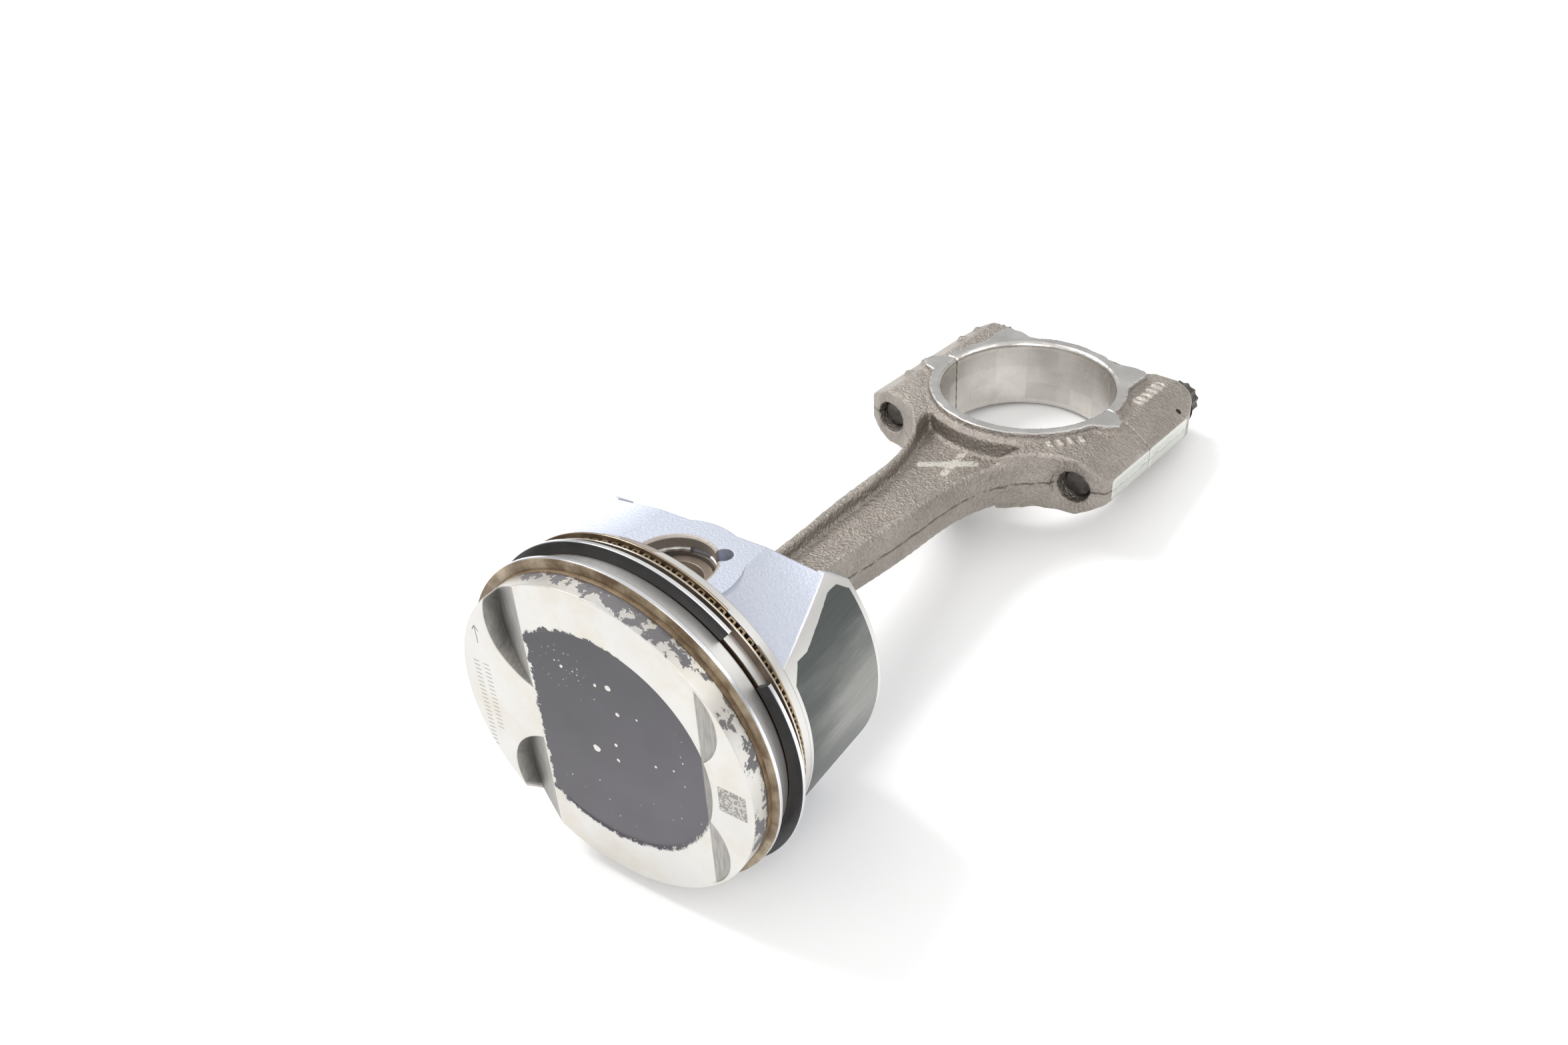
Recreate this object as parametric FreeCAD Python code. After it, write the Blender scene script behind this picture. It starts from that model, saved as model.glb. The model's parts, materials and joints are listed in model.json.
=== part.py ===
import FreeCAD, Part
import os
from math import cos, pi, radians, sin, sqrt, tan

# Turbo petrol-engine piston with its rings, wrist pin and fracture-split connecting rod.
# Engine frame used for modelling: origin at the wrist-pin centre, X along the pin, Z toward the
# crown.  Every piece is moved at the end into the frame of the table the assembly lies on.
# All lengths are millimetres and all angles are degrees.

V = FreeCAD.Vector
ORIGIN = V(0, 0, 0)
X_AXIS = V(1, 0, 0)
Y_AXIS = V(0, 1, 0)
Z_AXIS = V(0, 0, 1)

# ---- piston ------------------------------------------------------------------------------------
CROWN_Z = 30.0            # crown height above the pin axis
TOP_LAND_R = 40.95
LAND_R = 41.15
SKIRT_R = 41.21           # 82.42 mm piston in an 82.5 mm bore
BELT_BOTTOM_Z = 9.0
SKIRT_BOTTOM_Z = -20.5
WALL_BOTTOM_Z = -15.2
SKIRT_INNER_R = 37.4
DOME_R = 31.0
DOME_TOP_Z = 20.5
WALL_THICKNESS = 4.2
WALL_X_TOP = 21.2         # half width of the box walls at the skirt edge, under the ring belt
WALL_X_BOTTOM = 29.6      # the same at the open end
BOSS_FACE_X = 30.0
BOSS_FLAT_Y = 15.0
BOSS_R = 16.6
BOSS_INNER_X = 11.2
PILLAR_HALF_Y = 10.5

# ---- ring belt ---------------------------------------------------------------------------------
TOP_GROOVE_Z = (22.78, 24.0)
SECOND_GROOVE_Z = (16.75, 18.0)
OIL_GROOVE_Z = (11.2, 14.4)
GROOVE_ROOT_R = 37.4
OIL_GROOVE_ROOT_R = 37.0
CARRIER_Z = (21.7, 25.1)
CARRIER_INNER_R = 34.0
RING_SIDE_GAP = 0.03

# ---- crown -------------------------------------------------------------------------------------
DISH_R = 30.0
DISH_SHALLOW_Y = 19.0       # the dish floor runs out into the crown at this line
DISH_TILT = 1.1
INTAKE_POCKET = dict(x=22.5, y=13.9, r=15.5, tilt=20.0, inner_y=18.6)
EXHAUST_POCKET = dict(x=18.5, y=-19.8, r=13.2, tilt=-8.0, inner_y=-27.2)

# ---- wrist pin, circlips, bush -----------------------------------------------------------------
PIN_R = 10.0
PIN_BORE_R = 5.6
PIN_HALF_LENGTH = 25.3
PIN_RUNNING_GAP = 0.03
CLIP_WIRE_R = 0.8
CLIP_X = 26.3
CLIP_RING_R = 10.2
CLIP_GAP_DEG = 36.0
CLIP_START_DEG = -76.0
NOTCH_Y = -8.4
NOTCH_Z = -8.0
NOTCH_R = 2.3
BUSH_OUTER_R = 11.3
BUSH_HALF_LENGTH = 10.3

# ---- connecting rod (rod frame: same X, Z = -distance from the pin) ------------------------------
ROD_CENTRES = 144.0
ROD_ANGLE = -7.81
ROD_SIDE_OFFSET = -0.5
SMALL_END_R = 15.2
SMALL_END_HALF_WIDTH = 10.4
BEAM_HALF_THICKNESS = 6.6
WEB_HALF_THICKNESS = 3.0
BIG_BORE_R = 25.3
BIG_END_HALF_WIDTH = 10.95
THRUST_FACE_R = 29.0
HOUSING_HALF_THICKNESS = 8.8
BOLT_Y = 31.5
BOLT_R = 4.5
BOLT_HOLE_R = 4.75
BOLT_TIP_S = 122.0
CAP_SEAT_S = 174.8
HEAD_HEIGHT = 6.2


def cylinder_z(radius, z_low, z_high, x=0.0, y=0.0):
    return Part.makeCylinder(radius, z_high - z_low, V(x, y, z_low), Z_AXIS)


def cylinder_x(radius, x_low, x_high, y=0.0, z=0.0):
    return Part.makeCylinder(radius, x_high - x_low, V(x_low, y, z), X_AXIS)


def block(x_low, x_high, y_low, y_high, z_low, z_high):
    size = (x_high - x_low, y_high - y_low, z_high - z_low)
    return Part.makeBox(size[0], size[1], size[2], V(x_low, y_low, z_low))


def ring_z(outer_r, inner_r, z_low, z_high, x=0.0, y=0.0):
    outer = cylinder_z(outer_r, z_low, z_high, x, y)
    return outer.cut(cylinder_z(inner_r, z_low - 1, z_high + 1, x, y))


def closed_wire(points):
    return Part.makePolygon(points + [points[0]])


def prism(points, direction):
    return Part.Face(closed_wire(points)).extrude(direction)


def fuse_all(shapes):
    return shapes[0].multiFuse(shapes[1:]).removeSplitter()


def both_sides(shape, normal):
    return [shape, shape.mirror(ORIGIN, normal)]


# ================================================================================================
# Piston
# ================================================================================================

def wall_half_width(z):
    share = (BELT_BOTTOM_Z - z) / (BELT_BOTTOM_Z - SKIRT_BOTTOM_Z)
    return WALL_X_TOP + share * (WALL_X_BOTTOM - WALL_X_TOP)


def box_section(z, inset):
    # Eight-sided plan of the boss walls at height z, closed across the skirts.
    face_x = BOSS_FACE_X - inset
    edge_x = wall_half_width(z) - inset
    edge_y = sqrt(SKIRT_R ** 2 - wall_half_width(z) ** 2)
    far_y = SKIRT_R + 2
    half = [(face_x, BOSS_FLAT_Y), (edge_x, edge_y), (edge_x, far_y)]
    quarter_back = [(-x, y) for x, y in reversed(half)]
    upper = half + quarter_back
    lower = [(-x, -y) for x, y in upper]
    return closed_wire([V(x, y, z) for x, y in upper + lower])


def boss_box(inset, z_low, z_high):
    sections = [box_section(z_low, inset), box_section(z_high, inset)]
    return Part.makeLoft(sections, True, True)


def valve_pocket(x, y, r, tilt, inner_y):
    # The floor is square to the valve stem and runs out into the crown along the inner edge.
    stem = V(0, sin(radians(tilt)), cos(radians(tilt)))
    lift = (inner_y - y) * sin(radians(tilt))
    base = V(x, y, CROWN_Z) + stem * lift
    return Part.makeCylinder(r, 25, base, stem)


def make_piston():
    belt = cylinder_z(LAND_R, BELT_BOTTOM_Z, TOP_GROOVE_Z[1])
    top_land = cylinder_z(TOP_LAND_R, TOP_GROOVE_Z[1], CROWN_Z)
    skirt = cylinder_z(SKIRT_R, SKIRT_BOTTOM_Z, BELT_BOTTOM_Z)
    skirt = skirt.common(boss_box(0.0, SKIRT_BOTTOM_Z, BELT_BOTTOM_Z))
    body = fuse_all([belt, top_land, skirt])

    # Inside: box-shaped lower cavity, round dome under the crown, bosses and pillars left standing.
    low_cavity = boss_box(WALL_THICKNESS, SKIRT_BOTTOM_Z - 1, BELT_BOTTOM_Z + 0.5)
    low_cavity = low_cavity.common(cylinder_z(SKIRT_INNER_R, SKIRT_BOTTOM_Z - 1, BELT_BOTTOM_Z + 0.5))
    dome = cylinder_z(DOME_R, BELT_BOTTOM_Z - 2, DOME_TOP_Z)
    dome = dome.makeFillet(5.0, [edge for edge in dome.Edges if edge.BoundBox.ZMin > DOME_TOP_Z - 0.1])
    dome = dome.common(block(-23, 23, -40, 40, BELT_BOTTOM_Z - 2, DOME_TOP_Z))
    boss = cylinder_x(BOSS_R, BOSS_INNER_X, BOSS_FACE_X)
    pillar = block(BOSS_INNER_X, 26, -PILLAR_HALF_Y, PILLAR_HALF_Y, 0, DOME_TOP_Z + 1)
    boss_solid = fuse_all([boss, pillar])
    bosses = both_sides(boss_solid, X_AXIS)
    cavity = low_cavity.fuse(dome).cut(bosses[0]).cut(bosses[1])
    body = body.cut(cavity)

    # Open end: the boss walls stop short of the skirts, and the skirt corners are clipped.
    body = body.cut(block(-35, 35, -28.5, 28.5, SKIRT_BOTTOM_Z - 1, WALL_BOTTOM_Z))
    low = SKIRT_BOTTOM_Z - 0.1
    clip = [V(28.9, 27, -15.0), V(24.4, 27, low), V(34, 27, low), V(34, 27, -15.0)]
    corner = prism(clip, V(0, 12, 0))
    for end in both_sides(corner, X_AXIS):
        for side in both_sides(end, Y_AXIS):
            body = body.cut(side)
    lower_boss = [b.common(cylinder_x(BOSS_R, -BOSS_FACE_X, BOSS_FACE_X)) for b in bosses]
    body = fuse_all([body] + lower_boss)

    # Ring grooves; the top one is cut in the carrier, so the carrier seat is removed here.
    body = body.cut(ring_z(LAND_R + 2, CARRIER_INNER_R, CARRIER_Z[0], CARRIER_Z[1]))
    body = body.cut(ring_z(LAND_R + 2, GROOVE_ROOT_R, SECOND_GROOVE_Z[0], SECOND_GROOVE_Z[1]))
    body = body.cut(ring_z(LAND_R + 2, OIL_GROOVE_ROOT_R, OIL_GROOVE_Z[0], OIL_GROOVE_Z[1]))

    # Crown: shallow dish and four valve pockets.
    floor_z = CROWN_Z - DISH_SHALLOW_Y * sin(radians(DISH_TILT))
    dish = Part.makeCone(DISH_R - 0.8, DISH_R + 1.2, 2.0, V(0, 0, floor_z))
    dish.rotate(V(0, 0, floor_z), X_AXIS, DISH_TILT)
    body = body.cut(dish)
    for pocket in (INTAKE_POCKET, EXHAUST_POCKET):
        for cut in both_sides(valve_pocket(**pocket), X_AXIS):
            body = body.cut(cut)

    # Pin bore with chamfered mouths, circlip grooves and the notch for lifting the clip out.
    bore_r = PIN_R + PIN_RUNNING_GAP
    body = body.cut(cylinder_x(bore_r, -40, 40))
    mouth = Part.makeCone(bore_r - 0.3, bore_r + 0.7, 1.0, V(BOSS_FACE_X - 0.8, 0, 0), X_AXIS)
    clip_groove = cylinder_x(CLIP_RING_R + CLIP_WIRE_R + 0.05, CLIP_X - 0.85, CLIP_X + 0.85)
    notch = cylinder_x(NOTCH_R, CLIP_X - 0.85, BOSS_FACE_X + 1, NOTCH_Y, NOTCH_Z)
    for tool in (mouth, clip_groove, notch):
        for cut in both_sides(tool, X_AXIS):
            body = body.cut(cut)
    return body


def make_carrier():
    ring = ring_z(LAND_R - 0.05, CARRIER_INNER_R, CARRIER_Z[0], CARRIER_Z[1])
    return ring.cut(ring_z(LAND_R + 2, GROOVE_ROOT_R, TOP_GROOVE_Z[0], TOP_GROOVE_Z[1]))


# ================================================================================================
# Rings, shown sprung open as they stand when no cylinder holds them in
# ================================================================================================
# name: outer radius, radial width, floor z, top z, centre x, centre y, middle of gap, gap degrees

RINGS = {
    "top_ring": (43.3, 3.3, TOP_GROOVE_Z[0] + RING_SIDE_GAP, TOP_GROOVE_Z[1] - RING_SIDE_GAP,
                 0.5, 0.1, 300.0, 17.0),
    "second_ring": (44.0, 3.6, SECOND_GROOVE_Z[0] + RING_SIDE_GAP, SECOND_GROOVE_Z[1] - RING_SIDE_GAP,
                    0.7, -1.0, 138.2, 17.4),
    "oil_ring_upper_rail": (42.5, 2.5, 13.88, OIL_GROOVE_Z[1] - RING_SIDE_GAP,
                            0.4, -0.4, 20.0, 13.0),
    "oil_ring_lower_rail": (42.0, 2.4, OIL_GROOVE_Z[0] + RING_SIDE_GAP, 11.72,
                            0.5, 0.8, 133.0, 13.0),
}


def on_radius(edge, radius):
    return all(abs(sqrt(v.X ** 2 + v.Y ** 2) - radius) < 0.01 for v in edge.Vertexes)


def make_split_ring(outer_r, width, z_low, z_high, cx, cy, gap_at, gap_deg):
    ring = ring_z(outer_r, outer_r - width, z_low, z_high)
    reach = outer_r + 10
    half = radians(gap_deg / 2)
    side = reach * tan(half)
    wedge = [V(0, 0, z_low - 1), V(reach, -side, z_low - 1), V(reach, side, z_low - 1)]
    gap = prism(wedge, V(0, 0, z_high - z_low + 2))
    gap.rotate(ORIGIN, Z_AXIS, 90 - gap_at)
    ring = ring.cut(gap)
    edge = (z_high - z_low) * 0.18
    rims = [e for e in ring.Edges if e.BoundBox.ZLength < 0.01 and on_radius(e, outer_r)]
    ring = ring.makeChamfer(edge, rims)
    ring.translate(V(cx, cy, 0))
    return ring


EXPANDER_LOOPS = 90
EXPANDER_R = (38.8, 41.6)
EXPANDER_Z = (11.75, 13.85)
EXPANDER_STRIP = 0.38


def make_expander():
    # A flat strip folded up and down between the two rails: slots from below and above in turn.
    z_low, z_high = EXPANDER_Z
    ring = ring_z(EXPANDER_R[1], EXPANDER_R[0], z_low, z_high)
    pitch = 2 * pi * EXPANDER_R[1] / EXPANDER_LOOPS
    wide = pitch / 2 - EXPANDER_STRIP + 0.3
    narrow = pitch / 2 - EXPANDER_STRIP - 0.3
    start = EXPANDER_R[0] - 1
    reach = V(EXPANDER_R[1] - EXPANDER_R[0] + 2, 0, 0)
    roof = z_high - EXPANDER_STRIP
    floor = z_low + EXPANDER_STRIP
    from_below = prism([V(start, -wide / 2, z_low - 0.5), V(start, wide / 2, z_low - 0.5),
                        V(start, narrow / 2, roof), V(start, -narrow / 2, roof)], reach)
    from_above = prism([V(start, -wide / 2, z_high + 0.5), V(start, wide / 2, z_high + 0.5),
                        V(start, narrow / 2, floor), V(start, -narrow / 2, floor)], reach)
    slots = []
    step = 360.0 / EXPANDER_LOOPS
    for index in range(EXPANDER_LOOPS):
        for slot, shift in ((from_below, 0.0), (from_above, 0.5)):
            copy = slot.copy()
            copy.rotate(ORIGIN, Z_AXIS, (index + shift) * step)
            slots.append(copy)
    return ring.cut(slots)


# ================================================================================================
# Wrist pin, circlips and small-end bush
# ================================================================================================

def make_pin():
    pin = cylinder_x(PIN_R, -PIN_HALF_LENGTH, PIN_HALF_LENGTH)
    rims = [edge for edge in pin.Edges if edge.BoundBox.XLength < 0.1]
    pin = pin.makeChamfer(1.1, rims)
    pin = pin.cut(cylinder_x(PIN_BORE_R, -40, 40))
    flare = Part.makeCone(PIN_BORE_R, PIN_BORE_R + 1.2, 2.0, V(PIN_HALF_LENGTH - 2.0, 0, 0), X_AXIS)
    for cut in both_sides(flare, X_AXIS):
        pin = pin.cut(cut)
    return pin


def make_circlip(side):
    section = Part.Wire(Part.makeCircle(CLIP_WIRE_R, V(0, CLIP_RING_R, 0), Z_AXIS))
    clip = Part.Face(section).revolve(ORIGIN, X_AXIS, 360 - CLIP_GAP_DEG)
    clip.rotate(ORIGIN, X_AXIS, CLIP_START_DEG)
    clip.translate(V(CLIP_X * side, 0, 0))
    return clip


def make_bush():
    outer = cylinder_x(BUSH_OUTER_R, -BUSH_HALF_LENGTH, BUSH_HALF_LENGTH)
    return outer.cut(cylinder_x(PIN_R + PIN_RUNNING_GAP, -40, 40))


# ================================================================================================
# Connecting rod.  Points are given as (distance from pin, half width) pairs.
# ================================================================================================

BEAM_EDGE = [(8.0, 7.6), (25.0, 8.1), (40.0, 8.7), (51.0, 9.2), (64.0, 10.3), (79.0, 10.9),
             (93.0, 11.6), (105.0, 15.0), (113.0, 20.6), (118.0, 27.0), (124.0, 30.0)]
POCKET_EDGE = [(24.0, 4.2), (42.0, 5.0), (55.0, 5.9), (69.0, 6.5), (83.0, 7.0), (96.0, 8.9),
               (104.0, 11.4), (109.0, 13.4), (114.0, 14.8), (119.0, 15.2)]
SHOULDER = [(106.0, 12.0), (110.5, 17.0), (115.5, 22.0), (118.0, 28.0), (119.2, 36.0),
            (121.2, 40.2), (124.5, 41.0)]
CAP_SIDE = [(164.5, 41.0), (168.0, 40.4), (173.0, 38.2), (174.8, 36.2), (174.8, 25.0),
            (172.4, 21.5), (174.2, 12.0)]


def rod_point(s, y, x=0.0):
    return V(x, y, -s)


def mirrored_loop(points, x):
    right = [rod_point(s, y, x) for s, y in points]
    left = [rod_point(s, -y, x) for s, y in reversed(points)]
    return right, left


def spline_outline(points, x):
    right, left = mirrored_loop(points, x)
    right_curve = Part.BSplineCurve()
    right_curve.interpolate(right)
    left_curve = Part.BSplineCurve()
    left_curve.interpolate(left)
    far_end = Part.makeLine(right[-1], left[0])
    near_end = Part.makeLine(left[-1], right[0])
    return Part.Wire([right_curve.toShape(), far_end, left_curve.toShape(), near_end])


def drafted(points, x_low, x_high, change):
    # Solid between an outline at x_low and the same outline grown by 'change' at x_high.
    moved = [(s, y + change) for s, y in points]
    return Part.makeLoft([spline_outline(points, x_low), spline_outline(moved, x_high)], True, True)


def plate(points, half_thickness):
    right, left = mirrored_loop(points, -half_thickness)
    return prism(right + left, V(2 * half_thickness, 0, 0))


def flank_envelope():
    # Rounded cross-section of the bolt bosses, so that the big end passes through the cylinder.
    quarter = [(HOUSING_HALF_THICKNESS, 32.6), (6.3, 37.0), (3.6, 41.0)]
    side = quarter + [(-x, y) for x, y in reversed(quarter)]
    around = side + [(-x, -y) for x, y in side]
    bar = prism([V(x, y, -190) for x, y in around], V(0, 0, 95))
    corners = [edge for edge in bar.Edges if edge.BoundBox.ZLength > 90]
    return bar.makeFillet(1.8, corners)


def make_rod_blank():
    beam_half = drafted(BEAM_EDGE, 0.0, BEAM_HALF_THICKNESS, -0.7)
    beam = both_sides(beam_half, X_AXIS)
    small_end = cylinder_x(SMALL_END_R, -SMALL_END_HALF_WIDTH, SMALL_END_HALF_WIDTH)
    housing = plate(SHOULDER + CAP_SIDE, HOUSING_HALF_THICKNESS)
    housing = housing.common(flank_envelope())
    drum = cylinder_x(THRUST_FACE_R, -BIG_END_HALF_WIDTH, BIG_END_HALF_WIDTH, 0, -ROD_CENTRES)
    collar = cylinder_x(THRUST_FACE_R + 1.6, -HOUSING_HALF_THICKNESS, HOUSING_HALF_THICKNESS,
                        0, -ROD_CENTRES)
    return fuse_all(beam + [small_end, housing, drum, collar])


EAR_ROD = [(144.0, 20.0), (144.2, 29.4), (140.8, 33.2), (138.2, 33.8), (135.7, 31.4), (134.4, 27.4)]
EAR_CAP = [(158.4, 25.2), (161.0, 25.2), (168.7, 25.5), (170.0, 24.1), (170.6, 20.0), (169.0, 14.0),
           (160.0, 14.0)]
PIP_SPOTS = [(134.0, 36.2), (142.5, 36.4), (162.0, 36.4), (170.0, 35.8)]


def make_ears():
    ears = []
    for points in (EAR_ROD, EAR_CAP):
        flat = [rod_point(s, y, -BIG_END_HALF_WIDTH) for s, y in points]
        ear = prism(flat, V(2 * BIG_END_HALF_WIDTH, 0, 0))
        ears += both_sides(ear, Y_AXIS)
    return ears


def make_bolt_hole(y):
    mouth = cylinder_z(BOLT_HOLE_R, -BOLT_TIP_S + 0.6, -105.0, 0.0, y)
    thread = cylinder_z(BOLT_R, -ROD_CENTRES, -BOLT_TIP_S + 1, 0.0, y)
    clearance = cylinder_z(BOLT_HOLE_R, -CAP_SEAT_S - 8, -ROD_CENTRES, 0.0, y)
    spot_face = cylinder_z(6.1, -118.4, -105.0, 0.0, y)
    seat = cylinder_z(7.4, -CAP_SEAT_S - 8, -CAP_SEAT_S + 0.4, 0.0, y)
    return mouth.multiFuse([thread, clearance, spot_face, seat])


def make_rod_and_cap():
    body = fuse_all([make_rod_blank()] + make_ears())
    pocket = drafted(POCKET_EDGE, WEB_HALF_THICKNESS, BIG_END_HALF_WIDTH + 2, 1.6)
    pocket = pocket.cut(cylinder_x(THRUST_FACE_R + 2.2, -20, 20, 0, -ROD_CENTRES))
    for cut in both_sides(pocket, X_AXIS):
        body = body.cut(cut)
    body = body.cut(cylinder_x(BIG_BORE_R, -20, 20, 0, -ROD_CENTRES))
    chamfer = Part.makeCone(BIG_BORE_R - 0.2, BIG_BORE_R + 1.0, 1.2,
                            V(BIG_END_HALF_WIDTH - 1.0, 0, -ROD_CENTRES), X_AXIS)
    for cut in both_sides(chamfer, X_AXIS):
        body = body.cut(cut)
    body = body.cut(cylinder_x(BUSH_OUTER_R, -20, 20))
    for side in (-1, 1):
        body = body.cut(make_bolt_hole(side * BOLT_Y))
    for s, y in PIP_SPOTS:
        pip = cylinder_x(1.4, 4.0, 7.7, y, -s)
        body = body.fuse(pip.makeFillet(0.5, [edge for edge in pip.Edges if edge.BoundBox.XMin > 7.6]))
    body = body.removeSplitter()
    rod = body.common(block(-20, 20, -50, 50, -ROD_CENTRES, 30))
    cap = body.common(block(-20, 20, -50, 50, -200, -ROD_CENTRES))
    return rod, cap


def make_bolt(side):
    y = side * BOLT_Y
    thread = cylinder_z(BOLT_R, -ROD_CENTRES, -BOLT_TIP_S, 0.0, y)
    tip_rim = [edge for edge in thread.Edges if edge.BoundBox.ZMin > -BOLT_TIP_S - 0.1]
    thread = thread.makeChamfer(0.8, tip_rim)
    shank = cylinder_z(BOLT_R - 0.3, -CAP_SEAT_S, -ROD_CENTRES, 0.0, y)
    seat_s = CAP_SEAT_S - 0.4
    flange = Part.makeCone(5.9, 6.7, 1.5, V(0, y, -seat_s - 1.5), Z_AXIS)
    points = []
    for index in range(24):
        radius = 5.5 if index % 2 else 4.85
        turn = radians(index * 15)
        points.append(V(radius * cos(turn), y + radius * sin(turn), -seat_s - HEAD_HEIGHT))
    head = prism(points, V(0, 0, HEAD_HEIGHT - 1.0))
    return fuse_all([thread, shank, flange, head])


# ================================================================================================
# Placement and export
# ================================================================================================
# The assembly lies on the table on one side of the ring belt and on the big end.

TABLE_TILT = 9.58         # between the piston axis and the table
TABLE_ROLL = -0.04        # about the piston axis
HEADING = 0.0             # turn on the table that puts the longest extent along X


def swing(shape):
    shape.rotate(ORIGIN, X_AXIS, ROD_ANGLE)
    shape.translate(V(ROD_SIDE_OFFSET, 0, 0))
    return shape


def lay_on_table(shape):
    # Crown toward -X, big end toward +X, pin axis nearly upright.
    shape.rotate(ORIGIN, Z_AXIS, TABLE_ROLL)
    shape.rotate(ORIGIN, Y_AXIS, -90 + TABLE_TILT)
    shape.rotate(ORIGIN, Z_AXIS, HEADING)
    return shape


def build():
    nodes = {"piston_body": make_piston(), "top_ring_carrier": make_carrier()}
    for name, values in RINGS.items():
        nodes[name] = make_split_ring(*values)
    nodes["oil_ring_expander"] = make_expander()
    nodes["wrist_pin"] = make_pin()
    nodes["circlip_upper"] = make_circlip(1)
    nodes["circlip_lower"] = make_circlip(-1)
    rod, cap = make_rod_and_cap()
    swinging = {"small_end_bush": make_bush(), "connecting_rod": rod, "rod_cap": cap,
                "rod_bolt_left": make_bolt(1), "rod_bolt_right": make_bolt(-1)}
    for name, shape in swinging.items():
        nodes[name] = swing(shape)
    return nodes


def place_and_export(nodes):
    for shape in nodes.values():
        lay_on_table(shape)
    whole = Part.makeCompound(list(nodes.values())).BoundBox
    shift = V(-whole.Center.x, -whole.Center.y, -whole.ZMin)
    os.makedirs("parts", exist_ok=True)
    for name, shape in nodes.items():
        shape.translate(shift)
        shape.exportStep("parts/" + name + ".step")


place_and_export(build())
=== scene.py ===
import json
import math

import bpy
import numpy as np
from mathutils import Matrix, Vector


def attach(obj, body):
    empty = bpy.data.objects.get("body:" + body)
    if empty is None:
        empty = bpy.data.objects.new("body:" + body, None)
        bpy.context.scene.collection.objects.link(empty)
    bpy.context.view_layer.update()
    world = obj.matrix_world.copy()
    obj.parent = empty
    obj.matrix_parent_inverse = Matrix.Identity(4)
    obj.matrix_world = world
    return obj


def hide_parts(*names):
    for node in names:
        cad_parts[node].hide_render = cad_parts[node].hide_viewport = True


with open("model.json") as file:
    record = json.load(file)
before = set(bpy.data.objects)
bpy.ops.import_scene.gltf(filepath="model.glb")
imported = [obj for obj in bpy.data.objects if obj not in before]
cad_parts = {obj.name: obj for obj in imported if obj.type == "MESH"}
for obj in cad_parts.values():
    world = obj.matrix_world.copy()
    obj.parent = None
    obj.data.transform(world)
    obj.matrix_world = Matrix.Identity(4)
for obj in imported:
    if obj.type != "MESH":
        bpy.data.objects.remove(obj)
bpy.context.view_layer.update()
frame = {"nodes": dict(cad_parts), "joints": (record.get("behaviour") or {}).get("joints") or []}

NODES = frame["nodes"]
JOINTS = {joint["name"]: joint for joint in frame["joints"]}
MM = 0.001
UP = Vector((0, 0, 1))

# ---- frames ------------------------------------------------------------------------------------
# Engine frame: origin at the wrist-pin centre, X along the pin, Z toward the crown, millimetres.
# Rod frame: the engine frame swung about the pin, so that -Z runs toward the big end.
PIN_CENTRE = Vector(JOINTS["rod_swing"]["pos_m"])
PIN_AXIS = Vector(JOINTS["rod_swing"]["axis"]).normalized()
CROWN_AXIS = Vector(JOINTS["top_ring_turn"]["axis"]).normalized()
SIDE_AXIS = CROWN_AXIS.cross(PIN_AXIS).normalized()
ENGINE = Matrix((PIN_AXIS, SIDE_AXIS, CROWN_AXIS)).transposed()      # columns are the engine axes
ROD_ANGLE = math.radians(-7.81)
ROD = ENGINE @ Matrix.Rotation(ROD_ANGLE, 3, "X")
ROD_ORIGIN = PIN_CENTRE + ENGINE @ Vector((-0.5 * MM, 0, 0))
BIG_END_Z = -144.0


def from_engine(x, y, z):
    """A point of the engine frame, in the frame of the scene."""
    return PIN_CENTRE + ENGINE @ (Vector((x, y, z)) * MM)


# ---- sizes the materials and the forged copies follow, in millimetres ----------------------------
CROWN_Z = 30.0
TOP_LAND_Z = 24.0             # top of the first groove
CARRIER_TOP_Z = 25.1
OIL_GROOVE_Z = 11.2
BELT_BOTTOM_Z = 9.0
SKIRT_R = 41.21
SKIRT_COAT_Z = (-19.2, 8.0)
DISH_R = 30.0
POCKET_FLOOR_Z = 24.6
INTAKE_POCKET_Y = 18.8
EXHAUST_POCKET_Y = -27.6
PIN_BORE_R = 5.6
SMALL_END_R = 15.2
BIG_BORE_R = 25.3
THRUST_FACE_P = 10.95
FLANK_Y = 41.0
BOLT_Y = 31.5
BOLT_HOLE_R = 4.75

# Light bare spots in the crown film: x, y, radius in the engine frame.
FILM_SPOTS = [(17.6, -4.2, 0.75), (17.0, -0.6, 0.45), (10.7, -5.8, 0.5), (11.7, -11.1, 0.35),
              (-3.1, 2.2, 1.0), (0.8, -3.8, 0.45), (-3.9, -3.8, 0.5), (-0.4, -14.6, 0.35),
              (0.8, -19.6, 0.3), (18.3, 8.6, 0.4)]

# Chalk marks on the rod: the two ends (y, z) of each bar in the rod frame, and its half width.
CHALK_BARS = [(((5.7, -99.6), (-6.0, -108.5)), 1.3),
              (((-2.2, -99.5), (-0.4, -110.7)), 1.1),
              (((-5.4, -54.0), (-6.2, -70.0)), 0.9)]

# Cast marks on the rod's upper side, standing in for its raised characters and badge.
STROKES_AT = (-24.5, -125.3)
STROKES_SLOPE = (0.60, 0.80)
STROKES_HALF = (6.2, 1.5)     # half length of the row, half height of a stroke
STROKE_EDGE = 0.70
BARS_AT = (-29.6, -162.6)
BARS_HALF = (7.0, 1.9)
BARS_RATE = 1.1
BAR_EDGE = 0.60
MARK_FLOOR_P = 6.0
MARK_HEIGHT = 0.45


# ================================================================================================
# Node-graph arithmetic: sockets that can be added, multiplied and mixed
# ================================================================================================

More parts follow.
